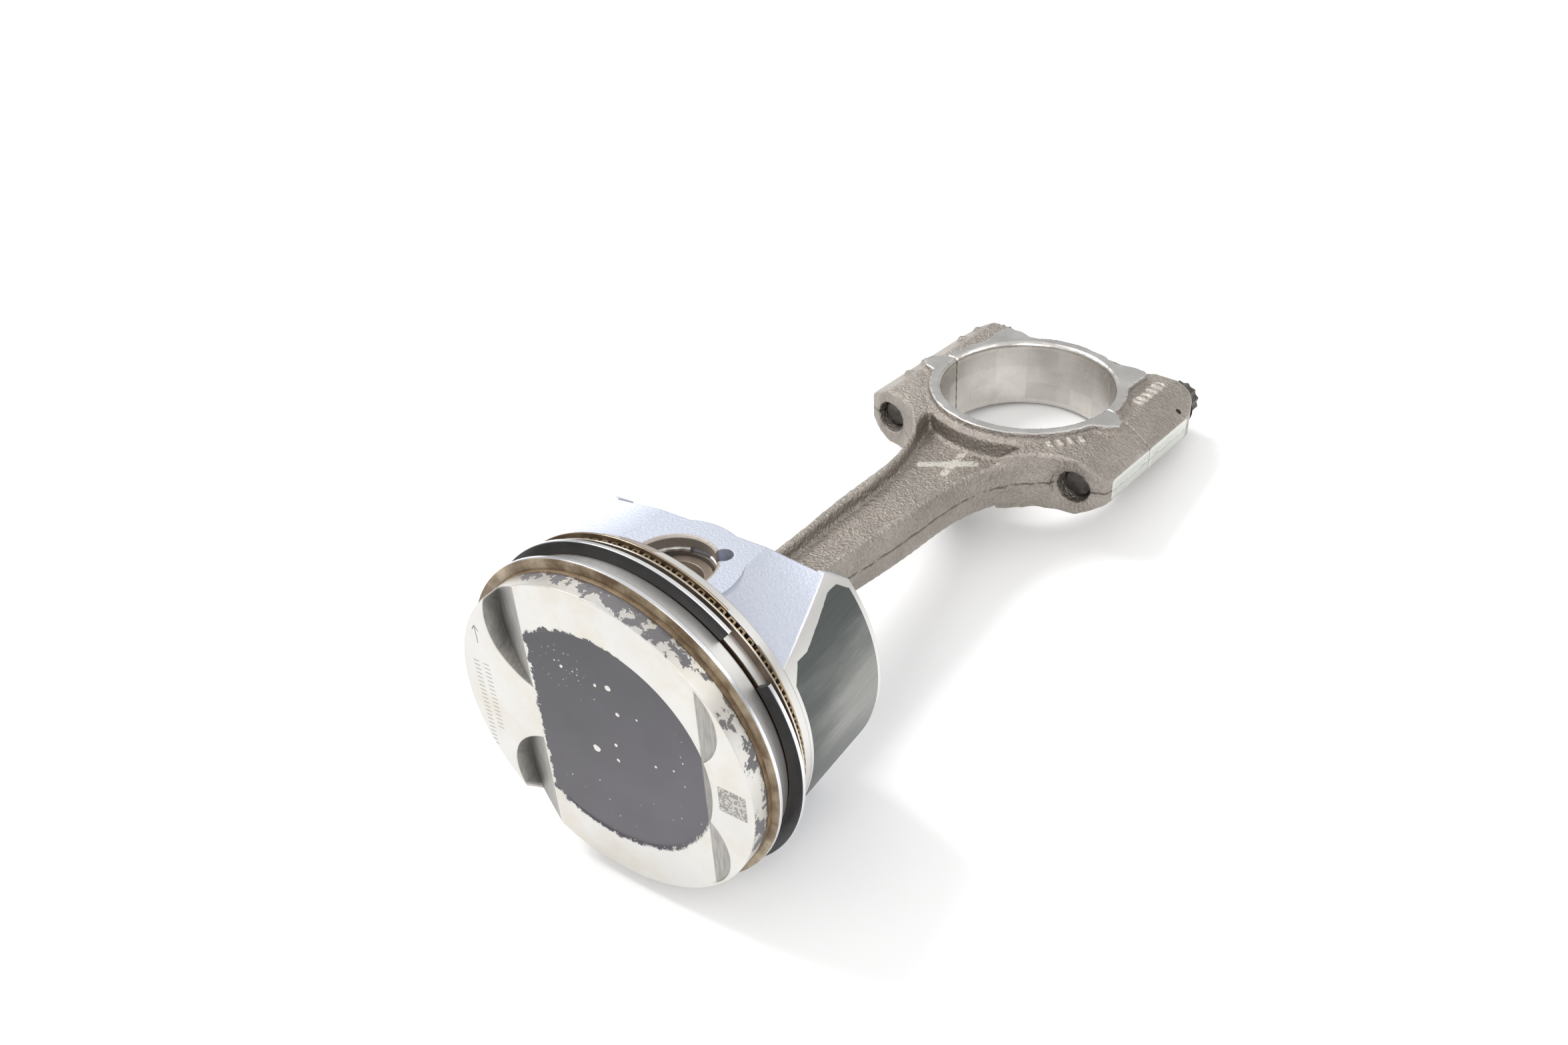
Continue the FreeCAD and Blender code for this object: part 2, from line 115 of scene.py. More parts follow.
class Wire:
    """One socket of a node graph, which can be used like a number."""

    def __init__(self, shader, socket):
        self.shader = shader
        self.socket = socket

    def _math(self, kind, *others):
        return self.shader.math(kind, self, *others)

    def __add__(self, other):
        return self._math("ADD", other)

    def __sub__(self, other):
        return self._math("SUBTRACT", other)

    def __rsub__(self, other):
        return self.shader.math("SUBTRACT", other, self)

    def __mul__(self, other):
        return self._math("MULTIPLY", other)

    __rmul__ = __mul__

    def __truediv__(self, other):
        return self._math("DIVIDE", other)

    def abs(self):
        return self._math("ABSOLUTE")

    def sin(self):
        return self._math("SINE")

    def floor(self):
        return self._math("FLOOR")

    def min(self, other):
        return self._math("MINIMUM", other)

    def max(self, other):
        return self._math("MAXIMUM", other)

    def above(self, edge, soft=0.0):
        return self.shader.step(self, edge, soft)

    def below(self, edge, soft=0.0):
        return 1.0 - self.shader.step(self, edge, soft)


class Shader:
    """One material: a Principled BSDF plus the arithmetic that drives its sockets."""

    def __init__(self, name):
        self.material = bpy.data.materials.new(name)
        self.material.use_nodes = True
        self.nodes = self.material.node_tree.nodes
        self.links = self.material.node_tree.links
        self.bsdf = self.nodes["Principled BSDF"]
        self.bump_chain = None
        self.colour = None
        self.rough = None
        self.metal = None

    def _feed(self, value, socket):
        if isinstance(value, Wire):
            self.links.new(value.socket, socket)
        elif isinstance(value, (tuple, list, Vector)) and len(value) == 3 and socket.type == "RGBA":
            socket.default_value = (*value, 1.0)
        else:
            socket.default_value = value

    def math(self, kind, *inputs):
        node = self.nodes.new("ShaderNodeMath")
        node.operation = kind
        for index, value in enumerate(inputs):
            self._feed(value, node.inputs[index])
        return Wire(self, node.outputs[0])

    def step(self, value, edge, soft):
        """0 below the edge and 1 above it, changing over soft on each side."""
        node = self.nodes.new("ShaderNodeMapRange")
        node.interpolation_type = "SMOOTHSTEP"
        soft = max(soft, 1e-4)
        self._feed(value, node.inputs["Value"])
        node.inputs["From Min"].default_value = edge - soft
        node.inputs["From Max"].default_value = edge + soft
        return Wire(self, node.outputs[0])

    def ramp(self, value, low, high, out_low=0.0, out_high=1.0):
        """A straight change from out_low at low to out_high at high, held level outside them."""
        node = self.nodes.new("ShaderNodeMapRange")
        self._feed(value, node.inputs["Value"])
        node.inputs["From Min"].default_value = low
        node.inputs["From Max"].default_value = high
        node.inputs["To Min"].default_value = out_low
        node.inputs["To Max"].default_value = out_high
        return Wire(self, node.outputs[0])

    def coordinates(self, origin, axes):
        """Object position turned into the frame given by origin and axes, in millimetres."""
        source = self.nodes.new("ShaderNodeTexCoord")
        mapping = self.nodes.new("ShaderNodeMapping")
        inverse = axes.transposed()
        mapping.inputs["Rotation"].default_value = inverse.to_euler("XYZ")
        mapping.inputs["Scale"].default_value = (1 / MM,) * 3
        mapping.inputs["Location"].default_value = -(inverse @ origin) / MM
        self.links.new(source.outputs["Object"], mapping.inputs["Vector"])
        return Wire(self, mapping.outputs[0])

    def split(self, vector):
        node = self.nodes.new("ShaderNodeSeparateXYZ")
        self._feed(vector, node.inputs[0])
        return [Wire(self, out) for out in node.outputs]

    def join(self, x, y, z):
        node = self.nodes.new("ShaderNodeCombineXYZ")
        for value, socket in zip((x, y, z), node.inputs):
            self._feed(value, socket)
        return Wire(self, node.outputs[0])

    def length(self, a, b):
        return self.math("SQRT", a * a + b * b)

    def angle(self, a, b):
        return self.math("ARCTAN2", a, b) * (180 / math.pi)

    def noise(self, vector, scale, detail=3.0, rough=0.55):
        node = self.nodes.new("ShaderNodeTexNoise")
        self._feed(vector, node.inputs["Vector"])
        node.inputs["Scale"].default_value = scale
        node.inputs["Detail"].default_value = detail
        node.inputs["Roughness"].default_value = rough
        return Wire(self, node.outputs["Fac"])

    def cells(self, vector, scale, feature="F1"):
        node = self.nodes.new("ShaderNodeTexVoronoi")
        node.feature = feature
        self._feed(vector, node.inputs["Vector"])
        node.inputs["Scale"].default_value = scale
        return Wire(self, node.outputs["Distance"])

    def random(self, vector):
        node = self.nodes.new("ShaderNodeTexWhiteNoise")
        self._feed(vector, node.inputs["Vector"])
        return Wire(self, node.outputs["Value"])

    def stretch(self, vector, sx, sy, sz):
        x, y, z = self.split(vector)
        return self.join(x * sx, y * sy, z * sz)

    def mix(self, low, high, share):
        node = self.nodes.new("ShaderNodeMix")
        node.data_type = "RGBA"
        self._feed(share, node.inputs["Factor"])
        self._feed(low, node.inputs[6])
        self._feed(high, node.inputs[7])
        return Wire(self, node.outputs[2])

    def blend(self, low, high, share):
        return self.math("MULTIPLY_ADD", share, self.math("SUBTRACT", high, low), low)

    def shade(self, colour, amount):
        """Colour multiplied by a grey amount."""
        node = self.nodes.new("ShaderNodeMix")
        node.data_type = "RGBA"
        node.blend_type = "MULTIPLY"
        node.inputs["Factor"].default_value = 1.0
        self._feed(colour, node.inputs[6])
        self._feed(amount, node.inputs[7])
        return Wire(self, node.outputs[2])

    def segment(self, u, v, ends, half_width):
        """1 inside a rounded bar between two points, fading over its edge."""
        (u0, v0), (u1, v1) = ends
        du = u1 - u0
        dv = v1 - v0
        size = math.hypot(du, dv)
        along = ((u - u0) * du + (v - v0) * dv) / (size * size)
        along = along.max(0.0).min(1.0)
        return self.length(u - u0 - along * du, v - v0 - along * dv).below(half_width, 0.25)

    def base(self, colour, rough, metal):
        self.colour = colour
        self.rough = rough
        self.metal = metal

    def coat(self, share, colour=None, rough=None, metal=None):
        """Lay a layer over what is there, as far as share says."""
        if colour is not None:
            self.colour = self.mix(self.colour, colour, share)
        if rough is not None:
            self.rough = self.blend(self.rough, rough, share)
        if metal is not None:
            self.metal = self.blend(self.metal, metal, share)

    def bump(self, height, strength, distance):
        node = self.nodes.new("ShaderNodeBump")
        self._feed(strength, node.inputs["Strength"])
        node.inputs["Distance"].default_value = distance
        self._feed(height, node.inputs["Height"])
        if self.bump_chain is not None:
            self.links.new(self.bump_chain.socket, node.inputs["Normal"])
        self.bump_chain = Wire(self, node.outputs[0])

    def soft_edges(self, radius_mm):
        node = self.nodes.new("ShaderNodeBevel")
        node.samples = 4
        node.inputs["Radius"].default_value = radius_mm * MM
        self.bump_chain = Wire(self, node.outputs[0])

    def finish(self):
        self._feed(self.colour, self.bsdf.inputs["Base Color"])
        self._feed(self.rough, self.bsdf.inputs["Roughness"])
        self._feed(self.metal, self.bsdf.inputs["Metallic"])
        if self.bump_chain is not None:
            self.links.new(self.bump_chain.socket, self.bsdf.inputs["Normal"])
        return self.material


# ================================================================================================
# Materials
# ================================================================================================

class PistonShader(Shader):
    """The piston's own material, laid on in layers from bare alloy to coating and marks."""

    def __init__(self):
        super().__init__("piston_alloy")
        self.pos = self.coordinates(PIN_CENTRE, ENGINE)
        self.x, self.y, self.z = self.split(self.pos)
        self.radius = self.length(self.x, self.y)
        self.fine = self.noise(self.pos, 0.9, 4)
        self.grain = self.noise(self.pos, 1.6, 5, 0.6)
        self.cast = self.z.below(BELT_BOTTOM_Z - 0.1, 0.15) * self.radius.below(SKIRT_R - 0.09, 0.03)
        self.film = None
        self.carbon = None

    def lay_alloy(self):
        """Machined alloy with faint golden heat stains toward the crown."""
        broad = self.noise(self.pos, 0.07, 3)
        machined = self.mix((0.60, 0.587, 0.562), (0.69, 0.68, 0.66), broad)
        stain = self.noise(self.pos, 0.09, 4, 0.6).above(0.54, 0.14) * self.z.above(TOP_LAND_Z, 3.0)
        machined = self.mix(machined, (0.57, 0.50, 0.385), stain * 0.35)
        self.base(machined, self.blend(0.30, 0.42, self.fine), 0.85)

    def lay_castings(self):
        """Bluish cast box walls, bosses and inside, and the stained pin bore."""
        cast_colour = self.mix((0.44, 0.465, 0.54), (0.60, 0.625, 0.70), self.grain)
        self.coat(self.cast, cast_colour, 0.52)
        bore = self.length(self.y, self.z).below(10.9, 0.2) * self.x.abs().above(10.0, 0.1)
        self.coat(bore, (0.42, 0.38, 0.34))

    def lay_film(self):
        """Dark satin film in the dish, flaked along two of its edges and pierced by bare spots, with a
        painted reflection that lightens it toward -x and -y.
        """
        ragged = self.noise(self.pos, 0.42, 8, 0.78) * 8.0 - 4.0
        flaked_side = self.y.above(-5.0, 12.0).max(self.x.below(-4.0, 8.0) * 0.8)
        film = (self.radius + ragged * flaked_side * 0.9 - 0.5).below(DISH_R - 0.7, 0.05)
        film = film * (self.y + ragged * 0.75).below(18.2, 0.06) * self.z.above(20.0)
        pin_holes = self.cells(self.pos, 0.42).below(0.085, 0.01)
        film = film * (1.0 - pin_holes * self.noise(self.pos, 0.05, 2).above(0.50, 0.04))
        for spot_x, spot_y, spot_r in FILM_SPOTS:
            distance = self.length(self.x - spot_x, self.y - spot_y) + self.noise(self.pos, 1.1, 3) * 0.8
            film = film * distance.above(spot_r + 0.4, 0.05)
        chips = self.cells(self.pos, 0.9).below(0.22, 0.02)
        chips = chips * self.length(self.x - 18.0, self.y - 8.6).below(5.0, 2.5)
        film = film * (1.0 - chips * self.noise(self.pos, 0.8, 3).above(0.5, 0.03))
        # painted reflection: the film is painted lighter toward -x and -y and darker across toward +x and +y
        painted_sheen = self.ramp(self.x * 0.6 + self.y * 0.8, -26.0, 24.0)
        film_colour = self.mix((0.075, 0.069, 0.082), (0.036, 0.034, 0.042), painted_sheen)
        film_colour = self.shade(film_colour, self.ramp(self.noise(self.pos, 0.06, 2), 0.3, 0.7, 0.85, 1.15))
        self.coat(film, film_colour, 0.36, 0.0)
        self.film = film

    def lay_pockets(self):
        """Duller milled valve pockets, with painted shade that darkens them where they are deep."""
        pocket = self.z.below(CROWN_Z - 0.15, 0.03) * self.z.above(POCKET_FLOOR_Z, 0.1)
        pocket = pocket * self.radius.below(40.6, 0.2)
        pocket = pocket * (self.y.above(INTAKE_POCKET_Y, 0.2) + self.y.below(EXHAUST_POCKET_Y, 0.2))
        milled = self.noise(self.stretch(self.pos, 0.25, 2.4, 0.6), 0.8, 4)
        # painted shade: the pockets are painted from mid grey at the rim to near black toward the floor
        pocket_depth_shade = self.ramp(self.z, CROWN_Z - 0.4, 26.0)
        pocket_colour = self.mix((0.33, 0.32, 0.30), (0.055, 0.050, 0.047), pocket_depth_shade)
        pocket_colour = self.shade(pocket_colour, self.ramp(milled, 0.2, 0.8, 0.6, 1.35))
        self.coat(pocket * 0.9, pocket_colour)
        self.coat(pocket, rough=0.46)

    def lay_carbon(self):
        """Baked carbon around the top land, in patches, over a sooty line above the first groove."""
        on_land = self.radius.above(40.5, 0.1) * self.z.above(TOP_LAND_Z, 0.02)
        on_land = on_land * self.z.below(CROWN_Z - 0.1, 0.1)
        angle = self.angle(self.x, self.y)
        blotch = self.noise(self.join(self.x, self.y, self.z * 1.3), 0.20, 7, 0.66)
        front = self.ramp((angle - 104.0).abs(), 55.0, 14.0)
        low_side = self.ramp((angle + 166.0).abs(), 34.0, 8.0, 0.0, 0.95)
        between = self.ramp((angle - 155.0).abs(), 40.0, 12.0, 0.0, 0.62)
        reach = front.max(low_side).max(between)
        height = (self.z - 26.6).abs() * 0.035
        carbon = (blotch - height + reach * 0.17).above(0.605, 0.010) * on_land
        soot = self.noise(self.pos, 0.30, 5, 0.7) + reach * 0.12 - (self.z - 25.2) * 0.22
        soot = soot.above(0.52, 0.05) * on_land
        tan_band = on_land * self.z.below(CARRIER_TOP_Z, 0.15)
        self.coat(tan_band * 0.5, (0.26, 0.19, 0.12))
        self.coat(soot * 0.8, (0.055, 0.040, 0.032))
        self.coat(carbon * 0.92, (0.085, 0.08, 0.09))
        self.coat(carbon, rough=0.5, metal=0.0)
        self.carbon = carbon

    def lay_groove_shade_and_oil(self):
        """Painted shade in the grooves, together with burnt oil: their surfaces are painted near black."""
        groove = self.radius.below(40.85, 0.12) * self.radius.above(33.0)
        groove = groove * self.z.above(OIL_GROOVE_Z - 0.05, 0.05) * self.z.below(TOP_LAND_Z + 0.2, 0.05)
        # painted shade and burnt oil: everything inside the grooves is painted a near-black brown
        shade_and_burnt_oil = self.mix((0.035, 0.020, 0.012), (0.10, 0.06, 0.03), self.fine)
        self.coat(groove, shade_and_burnt_oil, 0.5)
        self.coat(groove * 0.8, metal=0.0)

    def lay_skirt_coating(self):
        """Graphite coating printed on both skirts, worn lighter in the middle."""
        across = self.x.abs()
        half_width = self.ramp(self.z, 8.1, -2.0, 16.8, 27.2).min(self.ramp(self.z, 1.0, -13.0, 20.4, 25.6))
        half_width = half_width.min(self.ramp(self.z, -16.0, -19.3, 26.0, 23.2))
        wobble = self.noise(self.pos, 1.5, 2) * 0.25
        panel = (across - half_width + wobble).below(0.0, 0.08) * self.radius.above(SKIRT_R - 0.09, 0.03)
        panel = panel * self.z.below(SKIRT_COAT_Z[1], 0.08) * self.z.above(SKIRT_COAT_Z[0], 0.08)
        worn = self.noise(self.stretch(self.pos, 0.5, 0.5, 0.12), 0.30, 4, 0.6)
        centre = self.ramp(across, 20.0, 2.0) * self.ramp(self.z, 8.0, -14.0, 0.25, 1.0)
        wear = (worn * 0.6 + centre * 0.5).above(0.52, 0.22)
        coating = self.mix((0.060, 0.070, 0.067), (0.24, 0.243, 0.228), wear)
        streak = self.noise(self.stretch(self.pos, 1.0, 1.0, 0.05), 1.2, 3)
        coating = self.shade(coating, self.ramp(streak, 0.2, 0.8, 0.82, 1.12))
        self.coat(panel, coating, 0.42)
        self.coat(panel * 0.75, metal=0.0)

    def lay_marks(self):
        """Marks on the crown: a speckled square, an arrow and two rows of dashes."""
        x, y = self.x, self.y
        on_crown = self.z.above(CROWN_Z - 0.2, 0.05)
        u = x - 0.2
        v = y + 35.4
        square = u.abs().below(3.6, 0.05) * v.abs().below(3.6, 0.05)
        speck = self.random(self.join((u * 2.4).floor(), (v * 2.4).floor(), 0.0)).above(0.45, 0.01)
        square = square * (speck * 0.6 + 0.4)
        shaft = (x - 16.5).abs().below(2.6, 0.05) * (y - 34.3).abs().below(0.16, 0.04)
        head = ((y - 34.3).abs() - (19.1 - x) * 0.6).abs().below(0.2, 0.04) * x.above(17.6) * x.below(19.1)
        near_row = (y - 33.2).abs().below(0.9, 0.05) * x.above(-13.0) * x.below(9.0)
        far_row = (y - 36.4).abs().below(0.9, 0.05) * x.above(-19.0) * x.below(9.0)
        tick = (x * 2.4).sin().abs().below(0.30, 0.08)
        mark = on_crown * (square + shaft + head + (near_row + far_row) * tick).min(1.0)
        self.coat(mark * 0.75, (0.22, 0.21, 0.21))
        self.coat(mark, rough=0.6)

    def lay_relief(self):
        turning = self.noise(self.join(self.radius * 3.0, self.z * 3.0, 0.0), 1.0, 2)
        self.soft_edges(0.35)
        self.bump(self.grain, self.cast * 0.45, 0.00025)
        self.bump(turning, (1.0 - self.cast) * 0.12, 0.00004)
        self.bump(self.film + self.carbon, 0.5, 0.00005)


def piston_material():
    sh = PistonShader()
    sh.lay_alloy()
    sh.lay_castings()
    sh.lay_film()
    sh.lay_pockets()
    sh.lay_carbon()
    sh.lay_groove_shade_and_oil()
    sh.lay_skirt_coating()
    sh.lay_marks()
    sh.lay_relief()
    return sh.finish()


def ring_material(name, joint, outer_r, side_low, side_high, face_colour, metal_side=0.3, rough_side=0.4):
    """Stained flat sides, painted shade toward their inner edge, and a bright running face, about the ring's
    own axis.
    """
    sh = Shader(name)
    pos = sh.coordinates(Vector(JOINTS[joint]["pos_m"]), ENGINE)
    x, y, z = sh.split(pos)
    radius = sh.length(x, y)
    face = radius.above(outer_r - 0.10, 0.04)
    patch = sh.noise(sh.join(x, y, z * 0.3), 0.11, 4, 0.6)
    side = sh.mix(side_low, side_high, patch.above(0.5, 0.16))
    streak = sh.noise(sh.join(radius * 2.2, sh.angle(x, y) * 0.05, 0.0), 1.6, 4)
    side = sh.shade(side, sh.ramp(streak, 0.25, 0.75, 0.75, 1.15))
    # painted shade: the flat sides are darkened toward the inner edge, where the ring sits deep in its
    # groove
    inner_groove_shade = radius.below(outer_r - 2.6, 0.6)
    side = sh.mix(side, (0.02, 0.014, 0.01), inner_groove_shade * 0.6)
    colour = sh.mix(side, face_colour, face)
    scratch = sh.noise(sh.join(sh.angle(x, y) * 0.04, z * 14.0, 0.0), 1.4, 3)
    side_rough = sh.blend(rough_side, rough_side + 0.15, patch)
    face_rough = sh.ramp(scratch, 0.2, 0.8, 0.16, 0.3)
    sh.base(colour, sh.blend(side_rough, face_rough, face), sh.blend(metal_side, 1.0, face))
    sh.soft_edges(0.12)
    sh.bump(scratch, 0.15, 0.00003)
    return sh.finish()


def steel_material(name, low, high, scale, rough, metal=0.9):
    """Plain steel or bronze with stains and fine grain."""
    sh = Shader(name)
    pos = sh.coordinates(PIN_CENTRE, ENGINE)
    stain = sh.noise(pos, scale, 5, 0.62)
    fine = sh.noise(pos, scale * 9, 3)
    colour = sh.mix(low, high, stain.above(0.5, 0.18))
    colour = sh.shade(colour, sh.ramp(fine, 0.2, 0.8, 0.85, 1.1))
    sh.base(colour, sh.ramp(stain, 0.2, 0.8, rough - 0.06, rough + 0.10), metal)
    sh.soft_edges(0.15)
    sh.bump(fine, 0.15, 0.00006)
    return sh.finish()


def pin_material():
    """Ground outside, browned end faces and a dark bore."""
    sh = Shader("pin_steel")
    pos = sh.coordinates(PIN_CENTRE, ENGINE)
    x, y, z = sh.split(pos)
    radius = sh.length(y, z)
    end = x.abs().above(24.0, 0.1)
    rings = sh.noise(sh.join(radius * 2.0, 0.0, 0.0), 1.5, 3)
    stain = sh.noise(pos, 0.25, 4)
    colour = sh.mix((0.55, 0.52, 0.48), (0.30, 0.245, 0.20), end)
    colour = sh.shade(colour, sh.ramp(stain, 0.2, 0.8, 0.75, 1.15))
    in_bore = radius.below(PIN_BORE_R + 0.2, 0.15) * x.abs().below(24.8, 0.6)
    colour = sh.mix(colour, (0.03, 0.024, 0.02), in_bore)
    sh.base(colour, sh.ramp(stain, 0.2, 0.8, 0.24, 0.40), sh.blend(0.95, 0.7, end))
    sh.soft_edges(0.2)
    sh.bump(rings, 0.2, 0.00004)
    return sh.finish()


class RodShader(Shader):
    """The rod's and cap's material: shot-blasted forging, machined places, chalk and cast marks."""

    def __init__(self):
        super().__init__("rod_steel")
        self.pos = self.coordinates(ROD_ORIGIN, ROD)
        self.p, self.y, self.z = self.split(self.pos)
        self.bore_r = self.length(self.y, self.z - BIG_END_Z)
        self.grain = self.noise(self.pos, 2.4, 6, 0.65)
        self.coarse = self.noise(self.pos, 0.85, 4, 0.6)
        self.lathe = self.noise(self.join(self.bore_r * 2.6, 0.0, 0.0), 1.3, 3)
        self.face = self.p.abs().above(THRUST_FACE_P - 0.15, 0.04) * self.bore_r.above(25.0, 0.1)
        self.seam = None
        self.machined = None

    def lay_forging(self):
        """Shot-blasted skin, with the flash line as a ragged seam along the side walls."""
        speckle = self.ramp(self.grain * 0.7 + self.coarse * 0.3, 0.32, 0.68)
        colour = self.mix((0.25, 0.222, 0.196), (0.46, 0.420, 0.378), speckle)
        colour = self.shade(colour, self.ramp(self.noise(self.pos, 0.09, 4), 0.3, 0.7, 0.86, 1.12))
        self.base(colour, self.ramp(self.grain, 0.2, 0.8, 0.28, 0.42), 0.95)
        seam = (self.p + self.noise(self.pos, 0.35, 4) * 1.6 - 0.8).abs().below(0.32, 0.16)
        seam = seam * self.noise(self.pos, 0.25, 3).above(0.42, 0.08) * self.bore_r.above(32.0, 1.0)
        self.coat(seam * 0.7, (0.07, 0.058, 0.05))
        self.seam = seam

    def bore_colour(self, cloud):
        """Honed bore with rubbed rectangles, where the shells lay, and the dark fracture line."""
        turn = self.angle(self.y, self.z - BIG_END_Z)
        cell = self.join((turn * 0.0455 + 0.3).floor(), (self.p * 0.17 + 0.5).floor(), 3.0)
        patch = self.random(cell) * self.p.abs().below(8.8, 0.2)
        honed = self.noise(self.join(turn * 0.5, self.p * 3.0, 0.0), 1.3, 3)
        colour = self.mix((0.56, 0.53, 0.495), (0.70, 0.675, 0.64), honed)
        colour = self.shade(colour, self.ramp(patch, 0.0, 1.0, 1.04, 0.86))
        colour = self.shade(colour, self.ramp(cloud, 0.3, 0.7, 0.88, 1.1))
        split = (self.z - BIG_END_Z).abs().below(0.16, 0.08)
        return self.mix(colour, (0.05, 0.045, 0.04), split)

    def lay_machined(self):
        """Thrust faces, big-end bore, flank strips and the small end."""
        bore = self.bore_r.below(BIG_BORE_R + 0.85, 0.05)
        strip = self.y.abs().above(FLANK_Y - 0.15, 0.05)
        small = self.length(self.y, self.z).below(SMALL_END_R + 0.3, 0.1) * self.p.abs().above(10.2, 0.05)
        cloud = self.noise(self.pos, 0.12, 4, 0.6)
        face_colour = self.mix((0.60, 0.585, 0.56), (0.78, 0.77, 0.75), self.lathe)
        face_colour = self.shade(face_colour, self.ramp(cloud, 0.25, 0.75, 0.84, 1.08))
        brushed = self.noise(self.stretch(self.pos, 3, 1, 0.2), 1.0, 3)
        self.coat(strip, self.mix((0.50, 0.51, 0.48), (0.66, 0.67, 0.63), brushed))
        self.coat((self.face + small).min(1.0), face_colour)
        self.coat(bore, self.bore_colour(cloud))
        self.machined = (self.face + bore + strip + small).min(1.0)
        self.coat(self.machined, rough=self.ramp(cloud, 0.2, 0.8, 0.22, 0.36), metal=1.0)

    def lay_chalk(self):
        """A small worn cross in the recess near the big end, and a rubbed streak along it."""
        worn = self.noise(self.pos, 0.75, 5, 0.7).above(0.44, 0.05)
        first, second, third = [self.segment(self.y, self.z, ends, half) for ends, half in CHALK_BARS]
        chalk = (first + second + third).min(1.0) * self.p.above(2.0, 0.3) * worn
        self.coat(chalk * 0.55, (0.62, 0.61, 0.55))
        self.coat(chalk, rough=0.7, metal=0.0)

    def lay_marks(self):
        """Lighter tops of the cast marks, and one small near-black spot in the cap, painted shade where a
        small hole is.
        """
        dy = self.y - STROKES_AT[0]
        dz = self.z - STROKES_AT[1]
        across = dy * STROKES_SLOPE[1] - dz * STROKES_SLOPE[0]
        along = dy * STROKES_SLOPE[0] + dz * STROKES_SLOPE[1]
        strokes = across.abs().below(STROKES_HALF[1], 0.1) * along.abs().below(STROKES_HALF[0], 0.1)
        strokes = strokes * along.sin().abs().above(STROKE_EDGE, 0.10)
        bars = (self.y - BARS_AT[0]).abs().below(BARS_HALF[1], 0.1)
        bars = bars * (self.z - BARS_AT[1]).abs().below(BARS_HALF[0], 0.1)
        bars = bars * (self.z * BARS_RATE).sin().abs().above(BAR_EDGE, 0.12)
        raised = (strokes + bars).min(1.0) * self.p.above(MARK_FLOOR_P, 0.3)
        # the cast marks are painted a lighter colour than the forged skin
        self.coat(raised * 0.7, (0.66, 0.62, 0.57))
        # painted shade: a near-black spot stands in for the shade inside a small hole
        painted_hole_shade = self.length(self.y + 38.6, self.z + 164.0).below(0.8, 0.1) * self.p.above(4.0, 0.2)
        self.coat(painted_hole_shade, (0.03, 0.026, 0.022))

    def lay_relief(self):
        pebble = self.cells(self.pos, 1.3, "SMOOTH_F1")
        skin = self.grain * 0.5 + pebble * 0.5 + self.coarse * 0.8
        self.soft_edges(0.3)
        self.bump(skin, (1.0 - self.machined) * 0.9, 0.0006)
        self.bump(self.seam, 0.6, 0.0003)
        self.bump(self.lathe, self.face * 0.2, 0.00005)


def rod_material():
    sh = RodShader()
    sh.lay_forging()
    sh.lay_machined()
    sh.lay_chalk()
    sh.lay_marks()
    sh.lay_relief()
    return sh.finish()


def assign(material, *names):
    for name in names:
        mesh = NODES[name].data
        mesh.materials.clear()
        mesh.materials.append(material)


# ================================================================================================
# Forged rod and cap: worn-round copies of the CAD pieces with their machined faces kept true
# ================================================================================================

VOXEL = 0.5
FIRST_ROUNDS = 2              # a light pass over everything but the split faces
FORGED_ROUNDS = 5             # then more over the forged skin alone
SPLIT_MARGIN = 0.8
KEPT_GAP = 0.25               # how near a machined surface stays as it is
BLEND_GAP = 1.2               # and over how much more the rounding comes in


def machined_gap(local):
    """Distance of each point from the nearest machined surface or split face, in millimetres."""
    p, y, z = np.abs(local[:, 0]), local[:, 1], local[:, 2]
    from_big = np.hypot(y, z - BIG_END_Z)
    from_pin = np.hypot(y, z)
    bolt = np.abs(np.hypot(local[:, 0], np.abs(y) - BOLT_Y) - BOLT_HOLE_R)
    gaps = [np.abs(from_big - BIG_BORE_R), THRUST_FACE_P - p, FLANK_Y - np.abs(y), bolt,
            np.abs(z - BIG_END_Z), np.maximum(from_pin - 13.0, 0.0)]
    return np.clip(np.min(gaps, axis=0), 0.0, None)


def relax(points, edges, share, rounds):
    """Each round moves every point toward the mean of its neighbours, as far as share says."""
    count = len(points)
    ends = np.concatenate((edges[:, 0], edges[:, 1]))
    others = np.concatenate((edges[:, 1], edges[:, 0]))
    degree = np.maximum(np.bincount(ends, minlength=count), 1)
    for _ in range(rounds):
        sums = [np.bincount(ends, weights=points[others, axis], minlength=count) for axis in range(3)]
        mean = np.stack(sums, 1) / degree[:, None]
        points = points + (share * 0.5)[:, None] * (mean - points)
    return points


def raised_marks(local):
    """1 where a cast mark stands up: four strokes by the bolt hole and five bars on the cap."""
    p, y, z = local.T
    dy = y - STROKES_AT[0]
    dz = z - STROKES_AT[1]
    across = dy * STROKES_SLOPE[1] - dz * STROKES_SLOPE[0]
    along = dy * STROKES_SLOPE[0] + dz * STROKES_SLOPE[1]
    strokes = (np.abs(across) < STROKES_HALF[1]) & (np.abs(along) < STROKES_HALF[0])
    strokes &= np.abs(np.sin(along)) > STROKE_EDGE
    bars = (np.abs(y - BARS_AT[0]) < BARS_HALF[1]) & (np.abs(z - BARS_AT[1]) < BARS_HALF[0])
    bars &= np.abs(np.sin(z * BARS_RATE)) > BAR_EDGE
    return ((strokes | bars) & (p > MARK_FLOOR_P)).astype(float)


def voxel_mesh(node_name):
    """A new even mesh over one CAD piece."""
    work = bpy.data.objects.new("work", NODES[node_name].data.copy())
    bpy.context.scene.collection.objects.link(work)
    remesh = work.modifiers.new("voxels", "REMESH")
    remesh.mode = "VOXEL"
    remesh.voxel_size = VOXEL * MM
    mesh = bpy.data.meshes.new_from_object(work.evaluated_get(bpy.context.evaluated_depsgraph_get()))
    bpy.data.objects.remove(work)
    return mesh


